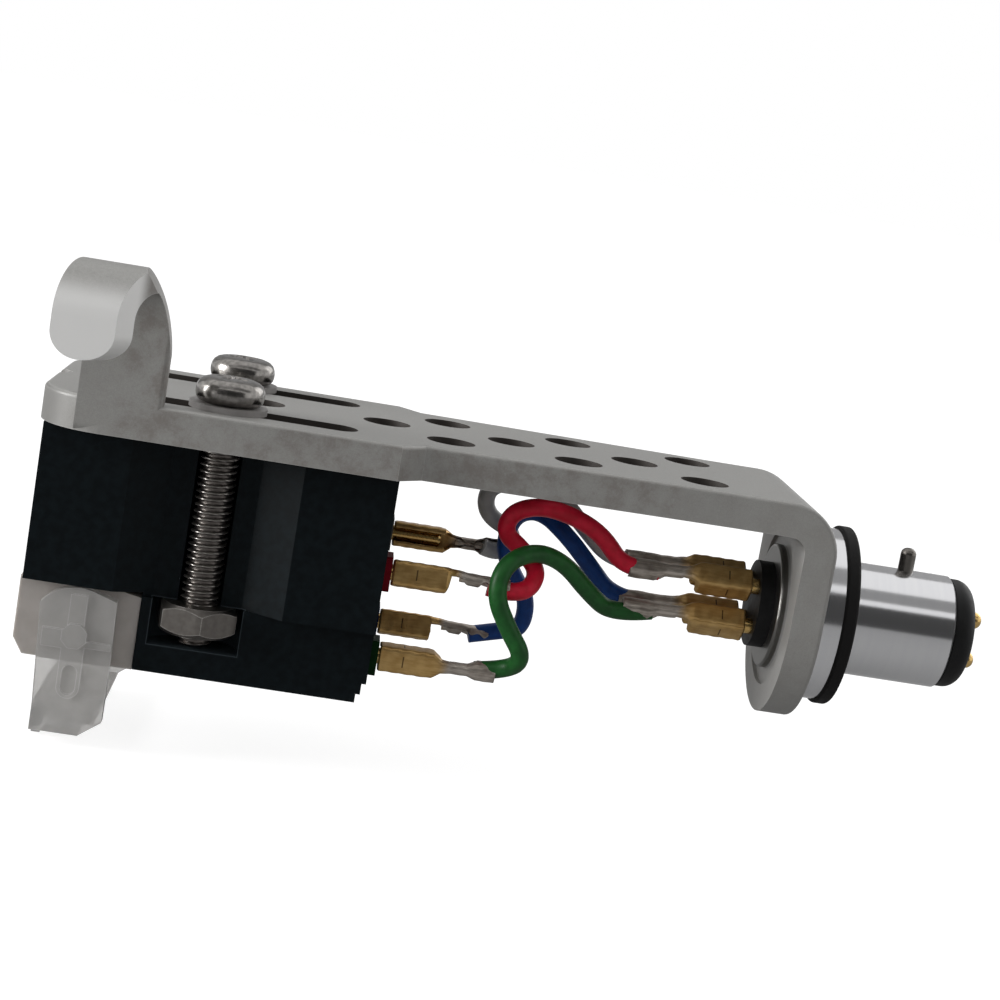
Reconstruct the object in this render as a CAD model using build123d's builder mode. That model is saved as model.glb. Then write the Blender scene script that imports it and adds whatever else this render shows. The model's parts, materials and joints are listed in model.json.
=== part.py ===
"""Headshell with a mounted moving-magnet cartridge for a record player's tonearm.

Frame, in millimetres: +X runs back along the connector towards the tonearm, +Z is up, and the
origin lies on the connector's axis at the rear face of its rubber washer. The near side is -Y.
"""
from build123d import *
import math
import os

os.makedirs("parts", exist_ok=True)

# Clearances
press = 0.01            # a seated pin, bush or tube in its bore
slide_gap = 0.1         # between pieces that slide or swing past each other
run_gap = 0.05          # a stud in its running hole

# Connector, turned about the X axis
barrel_d = 8.0
barrel_len = 7.6
barrel_bore = 6.14
collar_d = 12.2
collar_t = 1.55
washer_d = 12.7
washer_t = 0.95
sleeve_d = 8.4
lip_d = 8.8
lip_t = 0.4
carrier_plug_proud = 1.45
cap_len = 1.6
cap_d = 7.7
cap_round = 1.1
bayonet_d = 1.1
bayonet_x = 4.24
bayonet_top = 5.6

# Headshell casting
flange_t = 2.25
flange_r = 7.5
deck_top = 8.57
deck_t = 2.35
deck_front = -56.3
deck_rear = -32.6
deck_half = 10.1
deck_corner = 4.2
neck_front_half = 8.3
neck_rear_half = 7.5
neck_rear_x = -10.0
shoulder_r = 1.6
bend_outer = 3.6
bend_inner = 1.1
spot_r = 5.6
spot_depth = 0.25
edge_round = 0.3
notch_r = 0.9

# Holes of the deck: two outer rows and a middle row half a pitch on
hole_d = 3.26
hole_pitch = 8.737
row_y = 4.46
outer_row_x = -20.54
outer_row_count = 3
middle_row_x = -29.28
middle_row_count = 4

# Mounting slots and their screws
screw_x = -44.27
screw_y = 6.35
slot_w = 2.8
slot_front = -51.4
slot_rear = -35.6
screw_d = 2.6
screw_tip_z = -7.4
head_d = 4.6
head_h = 1.75
head_crown = 0.75
head_root = 0.42
recess_w = 0.6
recess_span = 2.3
recess_depth = 0.9
pad_d = 5.2
pad_t = 0.4
nut_flats = 5.0
nut_t = 2.0
nut_chamfer = 0.22

# Finger lift, cast with the deck
lift_t = 1.5
lift_rear_x = -48.2
lift_front_x = -53.7
hook_r = 3.3
hook_centre_z = 14.15
hook_tip_z = 11.4
hook_tip_rear_x = -51.3
hook_tip_front_x = -55.3
hook_tip_round = 1.75
lift_taper_z = 8.9
lift_waist = (-48.85, 14.7)
arch_rear_x = -50.2
lift_rear_round = 0.35
foot_round = 0.6

# Cartridge body
body_front = -55.8
body_rear = -32.4
body_half = 8.3
waist_half = 6.6
facet_front = (-49.9, -47.35)
facet_rear = (-41.4, -38.6)
channel_r = 1.45
wing_z = -4.55
brow_z = -4.3
keel_front = -48.0
keel_half = 7.2
keel_bottom = -9.6
heel_step = 0.3
nut_pocket_r = 3.15
nut_pocket_bottom = -7.7

# Works inside the body
works_front = -40.6
works_mid = -36.2
works_half = 2.9
works_top = -6.3
works_bottom = -9.0
rear_half = 6.1
rear_top = 1.2
rear_bottom = -7.6
block_half = 6.7
block_top = 1.6
block_bottom = -8.0
block_t = 1.8
pole_y = 1.9
pole_t = 0.6
pole_h = 1.4
pole_z = -7.6
coil_len = 3.4
coil_w = 1.7
coil_h = 2.4
shield_t = 0.3

# Rear terminals, clips and leads. y, z of each terminal, and its contact in the connector
terminals = {"white": (5.3, 0.0), "red": (-5.3, -0.75), "blue": (5.3, -6.6), "green": (-5.3, -6.6)}
contact_off = 1.43
contacts = {
    "white": (contact_off, contact_off),
    "red": (-contact_off, contact_off),
    "blue": (contact_off, -contact_off),
    "green": (-contact_off, -contact_off),
}
pin_d = 1.1
contact_tip_d = 1.2
contact_reach = 0.7
tag_w = 2.4
tag_t = 0.5
clip_gap = 0.1
contact_clip_gap = 0.6
clip_w = 1.78
clip_round = 0.5
clip_seam = 0.22
box_len = 3.7
neck_len = 1.2
wire_crimp_len = 1.3
wire_crimp_w = 1.0
web_len = 0.3
grip_len = 1.5
body_seams = {"white": -1, "red": 1, "blue": 1, "green": 1}
grip_wall = 0.16
lead_d = 1.25
bend_share = 0.45

# Stylus unit: holder, guard and moving stylus
holder_front = -56.1
holder_half = 6.9
holder_rear_drop = 0.35
holder_slope_x = -49.9
holder_bottom = -9.7
holder_chin = (0.7, 1.1)
plug_len = 4.6
plug_half = 2.55
plug_top = -5.9
plug_bottom = -9.0
magnet_room_half = 1.2
magnet_room_aft = 0.4
rake = 28.0
pivot_x = -46.9
pivot_z = -7.9
cantilever_len = 6.4
cantilever_d = 0.5
cantilever_bore = 0.34
cantilever_tail = 2.1
magnet_d = 1.0
magnet_len = 1.15
sleeve_out_r = 0.75
sleeve_in_r = 0.55
sleeve_fore = 0.6
sleeve_aft = 0.9
ring_len = 0.7
ring_bore_r = 0.29
tip_d = 0.22
tip_drop = 0.55
tip_back = 0.25
tunnel_half = 1.6

guard_pivot_x = -51.96
guard_pivot_z = -7.68
guard_t = 0.9
guard_top_r = 3.2
guard_front = -54.5
guard_rear = -49.5
guard_foot_front = -54.15
guard_foot_rear = -50.9
guard_heel_x = -49.45
guard_heel_z = -13.4
guard_bottom = -14.5
guard_floor_t = 0.7
guard_lip_drop = 0.6
guard_wall_t = 0.6
guard_wall_top = -12.6
stud_r = 0.55
boss_r = 0.83
boss_proud = 0.25
relief = 0.22
tongue_w = 1.5
tongue_bottom = -12.0
dish_w = 1.0
dish_top = -9.7
dish_bottom = -11.75
spine_w = 1.1
spine_top = -4.9
band_w = 1.25
band_z = -8.0
band_front = -54.1
rib_w = 0.45
rib_z = -8.2

# Places that follow from the sizes above
collar_rear = -washer_t
collar_front = collar_rear - collar_t
flange_front = collar_front - flange_t
lip_front = flange_front - lip_t
carrier_front = flange_front - carrier_plug_proud
cap_end = barrel_len + cap_len
deck_low = deck_top - deck_t
pad_top = deck_top + pad_t
head_top = pad_top + head_h
clip_len = box_len + neck_len + wire_crimp_len + web_len + grip_len
lead_inset = clip_len - grip_len + 0.05
tag_face = body_rear + tag_t
body_clip_x = tag_face + clip_gap
contact_clip_x = carrier_front - contact_clip_gap
pin_reach = box_len - 0.3
holder_rear = keel_front - run_gap
holder_top = brow_z - slide_gap
rake_dir = (-math.cos(math.radians(rake)), 0, -math.sin(math.radians(rake)))
guard_half = holder_half + slide_gap + guard_t
nut_corner_r = nut_flats / math.sqrt(3)
tunnel_rear = pivot_x - 0.4


def keep(piece, name):
    """Label a finished piece and write it."""
    piece.part.label = name
    export_step(piece.part, f"parts/{name}.step")


# Finger lift: a hooked strip in side view, narrowed in plan towards its rounded tip
hook_out_y = -deck_half + lift_t - 2 * hook_r
with BuildPart() as lift:
    with BuildSketch(Plane.YZ.offset(hook_tip_front_x - 1)):
        with BuildLine():
            Polyline(
                (hook_out_y, hook_centre_z),
                (hook_out_y, hook_tip_z),
                (hook_out_y + lift_t, hook_tip_z),
                (hook_out_y + lift_t, hook_centre_z),
            )
            RadiusArc((hook_out_y + lift_t, hook_centre_z), (-deck_half, hook_centre_z), hook_r - lift_t)
            Polyline(
                (-deck_half, hook_centre_z),
                (-deck_half, deck_low),
                (-deck_half + lift_t, deck_low),
                (-deck_half + lift_t, hook_centre_z),
            )
            RadiusArc((-deck_half + lift_t, hook_centre_z), (hook_out_y, hook_centre_z), -hook_r)
        make_face()
    extrude(amount=lift_rear_x - hook_tip_front_x + 1)
    with BuildSketch(Plane.XY.offset(deck_low)):
        with BuildLine():
            Polyline((lift_front_x, -deck_half), (lift_front_x, 0), (lift_rear_x, 0), (lift_rear_x, -deck_half))
            Line((lift_rear_x, -deck_half), (hook_tip_rear_x, hook_out_y))
            Line((hook_tip_rear_x, hook_out_y), (hook_tip_front_x, hook_out_y))
            Line((hook_tip_front_x, hook_out_y), (lift_front_x, -deck_half))
        make_face()
    extrude(amount=hook_centre_z + hook_r, mode=Mode.INTERSECT)
    with BuildSketch(Plane.XZ):
        with BuildLine():
            Polyline(
                (arch_rear_x, hook_centre_z + hook_r),
                (hook_tip_front_x - 1, hook_centre_z + hook_r),
                (hook_tip_front_x - 1, deck_low),
                (lift_rear_x, deck_low),
                (lift_rear_x, lift_taper_z),
            )
            ThreePointArc((lift_rear_x, lift_taper_z), lift_waist, (arch_rear_x, hook_centre_z + hook_r))
        make_face()
    extrude(amount=2 * deck_half, both=True, mode=Mode.INTERSECT)
    fillet(lift.faces().filter_by(Plane.XY).sort_by(Axis.Y)[0].edges().sort_by(Axis.X)[0], hook_tip_round)
    fillet(lift.faces().filter_by(Plane.XY).sort_by(Axis.Y)[0].edges().sort_by(Axis.X)[-1], hook_tip_round)
    fillet(lift.edges().filter_by(Axis.Z).filter_by_position(Axis.X, lift_rear_x, lift_rear_x), lift_rear_round)
    fillet(lift.edges().filter_by(Axis.X).group_by(Axis.Z)[0].sort_by(Axis.Y)[0], foot_round)

# Headshell: deck, neck, bend and flange in one casting, cut from side, plan and end views
with BuildPart() as headshell:
    with BuildSketch(Plane.XZ):
        with BuildLine():
            Polyline(
                (deck_front, deck_low),
                (deck_front, deck_top),
                (collar_front - bend_outer, deck_top),
            )
            RadiusArc((collar_front - bend_outer, deck_top), (collar_front, deck_top - bend_outer), bend_outer)
            Polyline(
                (collar_front, deck_top - bend_outer),
                (collar_front, -flange_r),
                (flange_front, -flange_r),
                (flange_front, deck_low - bend_inner),
            )
            RadiusArc(
                (flange_front, deck_low - bend_inner), (flange_front - bend_inner, deck_low), -bend_inner
            )
            Line((flange_front - bend_inner, deck_low), (deck_front, deck_low))
        make_face()
    extrude(amount=2 * deck_half, both=True)
    with BuildSketch(Plane.XY.offset(-flange_r)) as plan:
        with BuildLine():
            Polyline(
                (deck_front, 0),
                (deck_front, deck_half),
                (deck_rear, deck_half),
                (deck_rear + shoulder_r, neck_front_half),
                (neck_rear_x, neck_rear_half),
                (collar_front, neck_rear_half),
                (collar_front, 0),
            )
            mirror(about=Plane.XZ)
        make_face()
        fillet(plan.vertices().group_by(Axis.X)[0].sort_by(Axis.Y)[0], deck_corner)
        fillet(plan.vertices().group_by(Axis.X)[0].sort_by(Axis.Y)[-1], deck_corner)
    extrude(amount=deck_top + 2 * flange_r, mode=Mode.INTERSECT)
    with BuildSketch(Plane.YZ.offset(deck_front)):
        with Locations((0, deck_top)):
            Rectangle(4 * deck_half, 2 * deck_top)
        Circle(flange_r)
    extrude(amount=collar_front - deck_front, mode=Mode.INTERSECT)
    fillet(headshell.faces().sort_by(Axis.Z)[-1].outer_wire().edges(), edge_round)
    add(lift.part)
    with BuildSketch(Plane.XY.offset(deck_low)):
        with Locations((deck_front, 0)):
            Circle(notch_r)
    extrude(amount=deck_t, mode=Mode.SUBTRACT)
    with BuildSketch(Plane.XY.offset(deck_low)):
        with Locations((outer_row_x, 0)):
            with GridLocations(hole_pitch, 2 * row_y, outer_row_count, 2):
                Circle(hole_d / 2)
        with Locations((middle_row_x, 0)):
            with GridLocations(hole_pitch, 0, middle_row_count, 1):
                Circle(hole_d / 2)
        with Locations(((slot_front + slot_rear) / 2, 0)):
            with GridLocations(0, 2 * screw_y, 1, 2):
                SlotOverall(slot_rear - slot_front, slot_w)
    extrude(amount=deck_t, mode=Mode.SUBTRACT)
    with BuildSketch(Plane.YZ.offset(flange_front - bend_inner)):
        Circle(spot_r)
    extrude(amount=bend_inner + spot_depth, mode=Mode.SUBTRACT)
    with BuildSketch(Plane.YZ.offset(flange_front)):
        Circle(sleeve_d / 2 + press)
    extrude(amount=flange_t, mode=Mode.SUBTRACT)
keep(headshell, "headshell_casting")

# Connector barrel with its collar and the swaged lip that holds it in the flange
with BuildPart() as barrel:
    with BuildSketch(Plane.XZ) as barrel_profile:
        with BuildLine():
            Polyline(
                (lip_front, barrel_bore / 2),
                (lip_front, lip_d / 2),
                (flange_front + spot_depth, lip_d / 2),
                (flange_front + spot_depth, sleeve_d / 2),
                (collar_front, sleeve_d / 2),
                (collar_front, collar_d / 2),
                (collar_rear, collar_d / 2),
                (collar_rear, barrel_d / 2),
                (barrel_len, barrel_d / 2),
                (barrel_len, barrel_bore / 2),
                close=True,
            )
        make_face()
        fillet(barrel_profile.vertices().sort_by(Axis.X)[0:2].sort_by(Axis.Y)[-1], lip_t / 2)
        chamfer(barrel_profile.vertices().sort_by(Axis.X)[-2:].sort_by(Axis.Y)[-1], 0.2)
    revolve(axis=Axis.X)
    with BuildSketch(Plane.XY.offset(barrel_bore / 2 - 0.5)):
        with Locations((bayonet_x, 0)):
            Circle(bayonet_d / 2 + press)
    extrude(amount=barrel_d, mode=Mode.SUBTRACT)
keep(barrel, "connector_barrel")

# Bayonet pin, round at its top
with BuildPart() as bayonet:
    with BuildSketch(Plane.XY.offset(barrel_bore / 2 + press)):
        with Locations((bayonet_x, 0)):
            Circle(bayonet_d / 2)
    extrude(amount=bayonet_top - barrel_bore / 2 - press)
    fillet(bayonet.faces().sort_by(Axis.Z)[-1].edges(), 0.4 * bayonet_d)
keep(bayonet, "bayonet_pin")

# Rubber washer behind the collar
with BuildPart() as washer:
    with BuildSketch(Plane.YZ.offset(collar_rear)):
        Circle(washer_d / 2)
        Circle(barrel_d / 2 + press, mode=Mode.SUBTRACT)
    extrude(amount=washer_t)
    fillet(washer.edges().filter_by(GeomType.CIRCLE).sort_by(SortBy.RADIUS)[-2:], 0.2)
keep(washer, "rubber_washer")

# Insulating carrier: a plug through the barrel with a rounded cap at the rear
with BuildPart() as carrier:
    with BuildSketch(Plane.XZ) as carrier_profile:
        with BuildLine():
            Polyline(
                (carrier_front, 0),
                (carrier_front, barrel_bore / 2 - press),
                (barrel_len, barrel_bore / 2 - press),
                (barrel_len, cap_d / 2),
                (cap_end, cap_d / 2),
                (cap_end, 0),
                close=True,
            )
        make_face()
        fillet(carrier_profile.vertices().sort_by(Axis.X)[-2:].sort_by(Axis.Y)[-1], cap_round)
    revolve(axis=Axis.X)
    with BuildSketch(Plane.YZ.offset(carrier_front)):
        with GridLocations(2 * contact_off, 2 * contact_off, 2, 2):
            Circle(pin_d / 2 + press)
    extrude(amount=cap_end - carrier_front, mode=Mode.SUBTRACT)
keep(carrier, "contact_carrier")

# Contact pins: thin in front for the clips, a fatter rounded tip behind the cap
for colour, (pin_y, pin_z) in contacts.items():
    front = contact_clip_x - pin_reach
    with BuildPart() as contact:
        with BuildSketch(Plane.YZ.offset(front)):
            with Locations((pin_y, pin_z)):
                Circle(pin_d / 2)
        extrude(amount=cap_end - front)
        with BuildSketch(Plane.YZ.offset(cap_end)):
            with Locations((pin_y, pin_z)):
                Circle(contact_tip_d / 2)
        extrude(amount=contact_reach)
        fillet(contact.faces().sort_by(Axis.X)[-1].edges(), 0.45 * contact_tip_d)
        chamfer(contact.faces().sort_by(Axis.X)[0].edges(), 0.15)
    keep(contact, f"contact_pin_{colour}")

# Cartridge body: faceted block with screw channels, over a keel that holds the stylus socket
half_plan = [
    (body_front, body_half),
    (facet_front[0], body_half),
    (facet_front[1], waist_half),
    (facet_rear[0], waist_half),
    (facet_rear[1], body_half),
    (body_rear, body_half),
]
with BuildPart() as body:
    with BuildSketch(Plane.XY.offset(wing_z)):
        with BuildLine():
            Polyline(
                *half_plan, *[(x, -y) for x, y in reversed(half_plan)],
                close=True,
            )
        make_face()
    extrude(amount=deck_low - wing_z)
    with BuildSketch(Plane.XZ):
        with BuildLine():
            Polyline(
                (keel_front, wing_z),
                (body_rear, wing_z),
                (body_rear, keel_bottom + 4.5 * heel_step),
                (body_rear - heel_step, keel_bottom + 4.5 * heel_step),
                (body_rear - heel_step, keel_bottom + 2 * heel_step),
                (body_rear - 2 * heel_step, keel_bottom + 2 * heel_step),
                (body_rear - 2 * heel_step, keel_bottom),
                (keel_front, keel_bottom),
                close=True,
            )
        make_face()
    extrude(amount=keel_half, both=True)
    with BuildSketch(Plane.XY.offset(wing_z)):
        with Locations(((body_front + keel_front) / 2, 0)):
            Rectangle(keel_front - body_front, 2 * body_half)
    extrude(amount=brow_z - wing_z, mode=Mode.SUBTRACT)
    with BuildSketch(Plane.XY.offset(wing_z)):
        with Locations((screw_x, 0)):
            with GridLocations(0, 2 * screw_y, 1, 2):
                Circle(channel_r)
            with GridLocations(0, 2 * (screw_y + body_half), 1, 2):
                Rectangle(2 * channel_r, 2 * body_half)
    extrude(amount=deck_low - wing_z, mode=Mode.SUBTRACT)
    with BuildSketch(Plane.XY.offset(nut_pocket_bottom)):
        with Locations((screw_x, 0)):
            with GridLocations(0, 2 * screw_y, 1, 2):
                Circle(nut_pocket_r)
    extrude(amount=wing_z - nut_pocket_bottom, mode=Mode.SUBTRACT)
    with BuildSketch(Plane.YZ.offset(keel_front)):
        with Locations((0, (plug_top + plug_bottom) / 2)):
            Rectangle(2 * (plug_half + slide_gap), plug_top - plug_bottom + 2 * run_gap)
    extrude(amount=plug_len + slide_gap, mode=Mode.SUBTRACT)
    with BuildSketch(Plane.YZ.offset(works_front)):
        with Locations((0, (works_top + works_bottom) / 2)):
            Rectangle(2 * works_half, works_top - works_bottom)
    extrude(amount=works_mid - works_front, mode=Mode.SUBTRACT)
    with BuildSketch(Plane.YZ.offset(works_mid)):
        with Locations((0, (rear_top + rear_bottom) / 2)):
            Rectangle(2 * rear_half, rear_top - rear_bottom)
    extrude(amount=body_rear - works_mid, mode=Mode.SUBTRACT)
    with BuildSketch(Plane.YZ.offset(body_rear - block_t)):
        with Locations((0, (block_top + block_bottom) / 2)):
            Rectangle(2 * block_half, block_top - block_bottom)
    extrude(amount=block_t, mode=Mode.SUBTRACT)
    with BuildSketch(Plane.YZ.offset(keel_front + plug_len)):
        with GridLocations(2 * pole_y, 0, 2, 1):
            with Locations((0, pole_z)):
                Rectangle(pole_t + 2 * press, pole_h + 2 * press)
    extrude(amount=works_front - keel_front - plug_len, mode=Mode.SUBTRACT)
keep(body, "cartridge_body")

# Pole pieces, their coils and the shield between the two channels
pole_front = keel_front + plug_len + slide_gap
pole_rear = works_mid - slide_gap
coil_front = works_front + 0.3
for side, sign in (("left", 1), ("right", -1)):
    with BuildPart() as pole:
        with BuildSketch(Plane.YZ.offset(pole_front)):
            with Locations((sign * pole_y, pole_z)):
                Rectangle(pole_t, pole_h)
        extrude(amount=pole_rear - pole_front)
    keep(pole, f"pole_piece_{side}")
    with BuildPart() as coil:
        with BuildSketch(Plane.YZ.offset(coil_front)):
            with Locations((sign * pole_y, pole_z)):
                RectangleRounded(coil_w, coil_h, 0.3)
                Rectangle(pole_t + 2 * press, pole_h + 2 * press, mode=Mode.SUBTRACT)
        extrude(amount=coil_len)
    keep(coil, f"coil_{side}")

with BuildPart() as shield:
    with BuildSketch(Plane.YZ.offset(works_front)):
        with Locations((0, (works_top + works_bottom) / 2)):
            Rectangle(shield_t, works_top - works_bottom)
    extrude(amount=works_mid - works_front)
keep(shield, "channel_shield")

# Terminal block that closes the body, and its four pins and coloured tags
with BuildPart() as block:
    with BuildSketch(Plane.YZ.offset(body_rear - block_t)):
        with Locations((0, (block_top + block_bottom) / 2)):
            Rectangle(2 * (block_half - press), block_top - block_bottom - 2 * press)
        with Locations(*terminals.values()):
            Circle(pin_d / 2 + press, mode=Mode.SUBTRACT)
    extrude(amount=block_t)
keep(block, "terminal_block")

for colour, (pin_y, pin_z) in terminals.items():
    inner = body_rear - block_t - 0.6
    with BuildPart() as terminal:
        with BuildSketch(Plane.YZ.offset(inner)):
            with Locations((pin_y, pin_z)):
                Circle(pin_d / 2)
        extrude(amount=body_clip_x + pin_reach - inner)
        chamfer(terminal.faces().sort_by(Axis.X)[-1].edges(), 0.15)
    keep(terminal, f"terminal_pin_{colour}")
    with BuildPart() as tag:
        with BuildSketch(Plane.YZ.offset(body_rear)):
            with Locations((pin_y, pin_z)):
                RectangleRounded(tag_w, tag_w, 0.3)
                Circle(pin_d / 2 + press, mode=Mode.SUBTRACT)
        extrude(amount=tag_t)
    keep(tag, f"terminal_tag_{colour}")


def make_clip(x, y, z, direction, seam_side, name):
    """A folded clip: a boxed barrel on the pin, a neck, a crimp on the wire and one on its sleeve.

    Its seam faces the far side (1) or the near side (-1).
    """
    along = Plane(origin=(x, y, z), x_dir=(0, 0, -direction * seam_side), z_dir=(direction, 0, 0))
    crimp_at = box_len + neck_len
    web_at = crimp_at + wire_crimp_len
    grip_at = web_at + web_len
    grip_r = lead_d / 2 + 2 * press
    with BuildPart() as clip:
        with BuildSketch(along):
            RectangleRounded(clip_w, clip_w, clip_round)
            Circle(pin_d / 2 + press, mode=Mode.SUBTRACT)
            with Locations((0, clip_w / 2)):
                Rectangle(clip_seam, clip_w, mode=Mode.SUBTRACT)
        extrude(amount=box_len)
        with BuildSketch(along.offset(box_len)):
            RectangleRounded(0.94 * clip_w, 0.8 * clip_w, 0.3)
        with BuildSketch(along.offset(crimp_at)):
            RectangleRounded(wire_crimp_w, 0.8 * wire_crimp_w, 0.3)
        loft()
        with BuildSketch(along.offset(crimp_at)):
            RectangleRounded(wire_crimp_w, wire_crimp_w, 0.35)
        extrude(amount=wire_crimp_len)
        with BuildSketch(along.offset(web_at)):
            with Locations((0, -grip_r / 2 - grip_wall)):
                Rectangle(0.6 * wire_crimp_w, grip_r)
        extrude(amount=web_len)
        with BuildSketch(along.offset(grip_at)):
            Circle(grip_r + grip_wall)
            Circle(grip_r, mode=Mode.SUBTRACT)
            with Locations((0, grip_r)):
                Rectangle(0.45 * lead_d, grip_r, mode=Mode.SUBTRACT)
        extrude(amount=grip_len)
    keep(clip, name)


for colour, (pin_y, pin_z) in terminals.items():
    make_clip(body_clip_x, pin_y, pin_z, 1, body_seams[colour], f"body_clip_{colour}")
for colour, (pin_y, pin_z) in contacts.items():
    make_clip(contact_clip_x, pin_y, pin_z, -1, 1, f"contact_clip_{colour}")

# Leads: points chosen by hand between the two clips, straight runs joined by tangent arcs
lead_from = body_clip_x + lead_inset
lead_to = contact_clip_x - lead_inset
lead_starts = {"green": -22.86, "red": -22.92, "blue": -22.86, "white": -22.92}
lead_ends = {"green": -16.1, "red": -15.82, "blue": -15.79, "white": -15.79}
lead_middles = {
    "green": [
        (-22, -6.99, -4.88), (-23.35, -6.84, -2.9), (-25.02, -7.08, -0.77), (-24.86, -6.52, 1.53),
        (-22.53, -5.05, 2.47), (-20.2, -3.81, 1.8), (-18.29, -2.96, -0.37),
    ],
    "red": [
        (-21.33, -4, 0.6), (-22.67, -2.95, 2.15), (-24.88, -3, 2.79), (-24.77, -3, 5.1),
        (-22.52, -2.79, 5.54), (-19.93, -2.33, 4.76), (-17.69, -1.81, 3.39),
    ],
    "blue": [
        (-20.65, 4.87, -5.36), (-21.06, 4.14, -3.44), (-22.31, 3.32, -1.43), (-22.12, 2.54, 0.69),
        (-22.53, 1.94, 2.92), (-20.37, 1.57, 3.78), (-19.05, 1.44, 1.83), (-17.92, 1.4, 0.46),
    ],
    "white": [
        (-22.53, 5.61, 2.4), (-25.35, 5.49, 3.4), (-25.09, 4.45, 5.48), (-22.82, 3.89, 5.48),
        (-19.57, 3.25, 5.15), (-18, 2.25, 3.83),
    ],
}
for colour, middle in lead_middles.items():
    route = [Vector(lead_from, *terminals[colour]), Vector(lead_starts[colour], *terminals[colour])]
    route += [Vector(*point) for point in middle]
    route += [Vector(lead_ends[colour], *contacts[colour]), Vector(lead_to, *contacts[colour])]
    runs = [(b - a).length for a, b in zip(route, route[1:])]
    turns = [(b - a).get_angle(c - b) for a, b, c in zip(route, route[1:], route[2:])]
    radii = [
        bend_share * min(r0, r1) / math.tan(math.radians(turn / 2))
        for r0, r1, turn in zip(runs, runs[1:], turns)
    ]
    with BuildPart() as lead:
        with BuildLine() as path:
            FilletPolyline(*route, radius=radii)
        with BuildSketch(Plane(origin=route[0], z_dir=(1, 0, 0))):
            Circle(lead_d / 2)
        sweep()
    keep(lead, f"lead_{colour}")
    length = sum(edge.length for edge in path.edges())
    share = lead.part.volume / (math.pi * lead_d**2 / 4 * length)
    print(f"lead {colour}: {length:.1f} mm, radii {[round(r, 1) for r in radii]}, volume share {share:.3f}")
    print(f"   runs {[round(r, 1) for r in runs]}, turns {[round(t) for t in turns]}")

# Mounting screws with their pads and nuts, one set on each side
for side, sign in (("far", 1), ("near", -1)):
    with BuildPart() as screw:
        with BuildSketch(Plane.XY.offset(screw_tip_z)):
            with Locations((screw_x, sign * screw_y)):
                Circle(screw_d / 2)
        extrude(amount=pad_top - screw_tip_z)
        chamfer(screw.faces().sort_by(Axis.Z)[0].edges(), 0.3)
        with BuildSketch(Plane.XY.offset(pad_top)):
            with Locations((screw_x, sign * screw_y)):
                Circle(head_d / 2)
        extrude(amount=head_h)
        fillet(screw.faces().sort_by(Axis.Z)[-1].edges(), head_crown)
        rim = screw.edges().filter_by(GeomType.CIRCLE).filter_by_position(Axis.Z, pad_top, pad_top)
        fillet(rim.sort_by(SortBy.RADIUS)[-1], head_root)
        with BuildSketch(Plane.XY.offset(head_top)):
            with Locations((screw_x, sign * screw_y)):
                Rectangle(recess_span, recess_w)
                Rectangle(recess_w, recess_span)
        extrude(amount=-recess_depth, taper=8, mode=Mode.SUBTRACT)
    keep(screw, f"mounting_screw_{side}")

    with BuildPart() as pad:
        with BuildSketch(Plane.XY.offset(deck_top)):
            with Locations((screw_x, sign * screw_y)):
                Circle(pad_d / 2)
                Circle(screw_d / 2 + press, mode=Mode.SUBTRACT)
        extrude(amount=pad_t)
    keep(pad, f"screw_pad_{side}")

    with BuildPart() as nut:
        with BuildSketch(Plane.XY.offset(wing_z - nut_t)):
            with Locations((screw_x, sign * screw_y)):
                RegularPolygon(nut_flats / 2, 6, major_radius=False, rotation=30)
                Circle(screw_d / 2 + press, mode=Mode.SUBTRACT)
        extrude(amount=nut_t)
        with BuildSketch(Plane.XZ.offset(-sign * screw_y)):
            with BuildLine():
                Polyline(
                    (screw_x, wing_z),
                    (screw_x + nut_flats / 2, wing_z),
                    (screw_x + nut_corner_r, wing_z - nut_chamfer),
                    (screw_x + nut_corner_r, wing_z - nut_t + nut_chamfer),
                    (screw_x + nut_flats / 2, wing_z - nut_t),
                    (screw_x, wing_z - nut_t),
                    close=True,
                )
            make_face()
        revolve(axis=Axis((screw_x, sign * screw_y, 0), (0, 0, 1)), mode=Mode.INTERSECT)
    keep(nut, f"screw_nut_{side}")

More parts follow.
